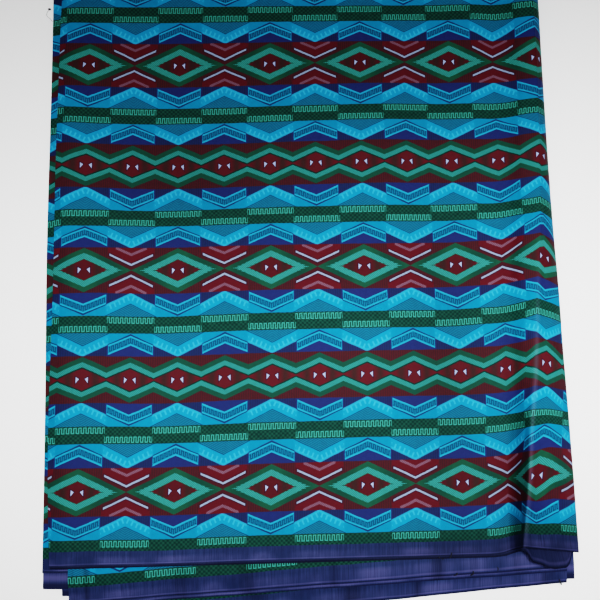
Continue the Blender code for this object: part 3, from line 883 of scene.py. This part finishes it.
def print_place(x, y, arc):
    """Place on the flat cloth: the arc length along the section, and the rows' distance from the selvedge.

    Both are drawn out of true by the table above, by a pull at the left edge and by one towards the ridge.
    """
    table = np.array(PRINT_ROWS).T
    row = {name: smooth(y[:, 0], table[0], values)[:, None] for name, values in zip(PRINT_COLUMNS, table)}
    left = eased_in(x - x[:, :1], LEFT_RUN)
    right = 1 - eased_in(x - RIGHT_START, RIGHT_RUN)
    ridge = 1 - eased_in(x - FLANK_START, FLANK_RUN)
    crest = 1 - eased_in(x - CREST_START, CREST_RUN)
    p = arc + PRINT_COLUMN - PRINT_LEAN * (y - PRINT_MIDDLE) + row["shift"]
    p = p + LEFT_PULL * left + RIGHT_PULL * right + row["slack"] * ridge + CREST_PULL * crest
    p = p + row["bump"] * bell(x - BUMP_MIDDLE, BUMP_WIDTH)
    p = p + row["pull"] * (1 - eased_in(x - PULL_START, PULL_RUN))
    wave = bell(x - WAVE_LOW, WAVE_WIDTH) - bell(x - WAVE_HIGH, WAVE_WIDTH)
    q = row["q"] + row["fall"] * (x + PRINT_COLUMN) + row["sag"] * bell(x - SAG_MIDDLE, SAG_WIDTH)
    q = q + row["wave"] * wave + row["edge"] * left + row["ridge"] * ridge
    q = q + row["dip"] * bell(x - DIP_MIDDLE, DIP_WIDTH)
    q = q + row["fold"] * (1 - eased_in(x - FOLD_START, FOLD_RUN))
    return p, q


top_cloth = cloth("top_layer", [top_sheet()])
top_cloth.data.materials.append(printed)
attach(top_cloth, "root")
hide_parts("top_panel", "top_under_ply")


# Loose threads
# Short ends of cotton that stand out of the selvedges, and a knot and a fine loop at the raw cut on the far
# left. Each lies on whatever is highest under it.
THREAD_TONES = {
    "dark_cotton": (dye(12, 14, 22), dye(22, 26, 38)),
    "grey_cotton": (dye(96, 98, 100), dye(146, 148, 150)),
}
THREAD_SIDES = 6
THREAD_STEPS = 24
THREAD_REACH = 0.002
THREADS = {
    "knot": ("dark_cotton", 0.0008, ((-0.2430, 0.2811), (-0.2446, 0.2816), (-0.2455, 0.2813))),
    "fine_loop": ("grey_cotton", 0.0002, (
        (-0.2436, 0.2812), (-0.2462, 0.2790), (-0.2470, 0.2758), (-0.2462, 0.2738), (-0.2436, 0.2716),
        (-0.2411, 0.2685),
    )),
    "hem_end_1": ("dark_cotton", 0.0005, ((0.1270, -0.2526), (0.1264, -0.2552), (0.1251, -0.2574))),
    "hem_end_2": ("dark_cotton", 0.0005, ((0.1150, -0.2566), (0.1174, -0.2576), (0.1190, -0.2584))),
    "hem_end_3": ("dark_cotton", 0.0005, ((0.1316, -0.2708), (0.1306, -0.2725), (0.1285, -0.2733))),
    "hem_end_4": ("dark_cotton", 0.0005, ((0.1457, -0.2696), (0.1459, -0.2718), (0.1437, -0.2736))),
    "hem_end_5": ("dark_cotton", 0.0004, ((0.1678, -0.2668), (0.1683, -0.2684), (0.1678, -0.2701))),
    "corner_end": ("dark_cotton", 0.0006, ((0.2236, -0.2796), (0.2246, -0.2822), (0.2256, -0.2842))),
}


def thread(name, colour, radius, places, ground):
    """Round thread along a smooth path through places in plan, on the highest ground point near each.

    A ring of points stands square to the path at each step, and both ends are closed.
    """
    places = np.array(places)
    apart = np.hypot(*(places[:, None] - ground[None, :, :2]).transpose(2, 0, 1))
    height = np.where(apart < THREAD_REACH, ground[None, :, 2], 0.0).max(axis=1) + radius
    knots = np.concatenate(((0.0,), np.cumsum(np.hypot(*np.diff(places, axis=0).T))))
    at = np.linspace(0, knots[-1], THREAD_STEPS)
    line = np.stack([smooth(at, knots, values) for values in (*places.T, height)], axis=1)
    along = np.gradient(line, axis=0)
    along /= np.linalg.norm(along, axis=1)[:, None]
    side = np.cross(along, (0, 0, 1))
    side /= np.linalg.norm(side, axis=1)[:, None]
    over = np.cross(side, along)
    turn = np.arange(THREAD_SIDES)[None, :, None] * 2 * np.pi / THREAD_SIDES
    points = line[:, None] + radius * (np.cos(turn) * side[:, None] + np.sin(turn) * over[:, None])
    number = np.arange(THREAD_STEPS * THREAD_SIDES).reshape(THREAD_STEPS, THREAD_SIDES)
    after = np.roll(number, -1, axis=1)
    quads = np.stack((number[:-1], number[1:], after[1:], after[:-1]), axis=-1).reshape(-1, 4)
    ends = [number[0].tolist(), number[-1, ::-1].tolist()]
    mesh = bpy.data.meshes.new(name)
    mesh.from_pydata(points.reshape(-1, 3).tolist(), [], quads.tolist() + ends)
    mesh.materials.append(colour)
    thing = bpy.data.objects.new(name, mesh)
    bpy.context.collection.objects.link(thing)
    return thing


def cotton(name, dark, light):
    """Spun cotton: its dye runs between a dark and a light tone in specks as fine as the twist."""
    material = bpy.data.materials.new(name)
    material.use_nodes = True
    tree = material.node_tree
    place = Wire(tree).node("ShaderNodeTexCoord", {}, {}, output="Object")
    specks = wire_noise(place, 2400.0, 1.0, 0.0)
    surface = tree.nodes["Principled BSDF"]
    tree.links.new(specks.over(dark, light).socket, surface.inputs["Base Color"])
    surface.inputs["Roughness"].default_value = 0.9
    return material


cottons = {name: cotton(name, *tones) for name, tones in THREAD_TONES.items()}
ground = np.concatenate([[corner.co for corner in piece.data.vertices] for piece in (top_cloth, *layers)])
for name, (yarn, radius, places) in THREADS.items():
    piece = thread(name, cottons[yarn], radius, places, ground)
    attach(piece, "root")


# The table and the light
# The cloth lies on a plain pale table and is photographed by hand from almost straight above, in soft light
# that comes from the near side.
TABLE = 3.0
table_corners = [(-TABLE, -TABLE, 0), (TABLE, -TABLE, 0), (TABLE, TABLE, 0), (-TABLE, TABLE, 0)]
table_mesh = bpy.data.meshes.new("table")
table_mesh.from_pydata(table_corners, [], [(0, 1, 2, 3)])
table_top = bpy.data.objects.new("table", table_mesh)
bpy.context.collection.objects.link(table_top)
pale = bpy.data.materials.new("pale_table")
pale.use_nodes = True
pale_surface = pale.node_tree.nodes["Principled BSDF"]
pale_surface.inputs["Base Color"].default_value = (0.92, 0.92, 0.92, 1.0)
pale_surface.inputs["Roughness"].default_value = 0.8
table_mesh.materials.append(pale)

# Name, place, target, size, spread in degrees and power
LIGHTS = (
    ("left lamp", (-0.22, -0.09, 1.30), (-0.22, -0.09, 0.0), 0.35, 52.0, 1.6),
    ("right lamp", (0.35, -0.10, 1.30), (0.33, -0.10, 0.0), 0.35, 50.0, 1.85),
    ("front", (0.05, -0.80, 1.15), (0.0, -0.15, 0.0), 0.60, 180.0, 0.5),
)
for name, place, target, size, spread, power in LIGHTS:
    lamp = bpy.data.lights.new(name, "AREA")
    lamp.size = size
    lamp.spread = np.radians(spread)
    lamp.energy = power
    light = bpy.data.objects.new(name, lamp)
    light.location = place
    light.rotation_euler = (Vector(target) - Vector(place)).to_track_quat("-Z", "Y").to_euler()
    bpy.context.collection.objects.link(light)
world = bpy.data.worlds.new("room")
world.use_nodes = True
world.node_tree.nodes["Background"].inputs["Color"].default_value = (1.0, 1.0, 1.0, 1.0)
world.node_tree.nodes["Background"].inputs["Strength"].default_value = 0.25
bpy.context.scene.world = world

# The photo's tones: deep darks and soft lights, as a small camera records them
bpy.context.scene.view_settings.view_transform = "Filmic"
bpy.context.scene.view_settings.look = "Very High Contrast"

ELEVATION = np.radians(80.71)
AZIMUTH = np.radians(-1.5)
DISTANCE = 0.933
AIM = Vector((-0.003, -0.020, 0.014))
back = Vector((np.sin(AZIMUTH) * np.cos(ELEVATION), -np.cos(AZIMUTH) * np.cos(ELEVATION), np.sin(ELEVATION)))
right = Vector((np.cos(AZIMUTH), np.sin(AZIMUTH), 0.0))
lens = bpy.data.cameras.new("camera")
lens.lens = 60.0
lens.sensor_width = 36.0
camera = bpy.data.objects.new("camera", lens)
turned = Matrix((right, back.cross(right), back)).transposed().to_4x4()
camera.matrix_world = Matrix.Translation(AIM + back * DISTANCE) @ turned
bpy.context.collection.objects.link(camera)
bpy.context.scene.camera = camera
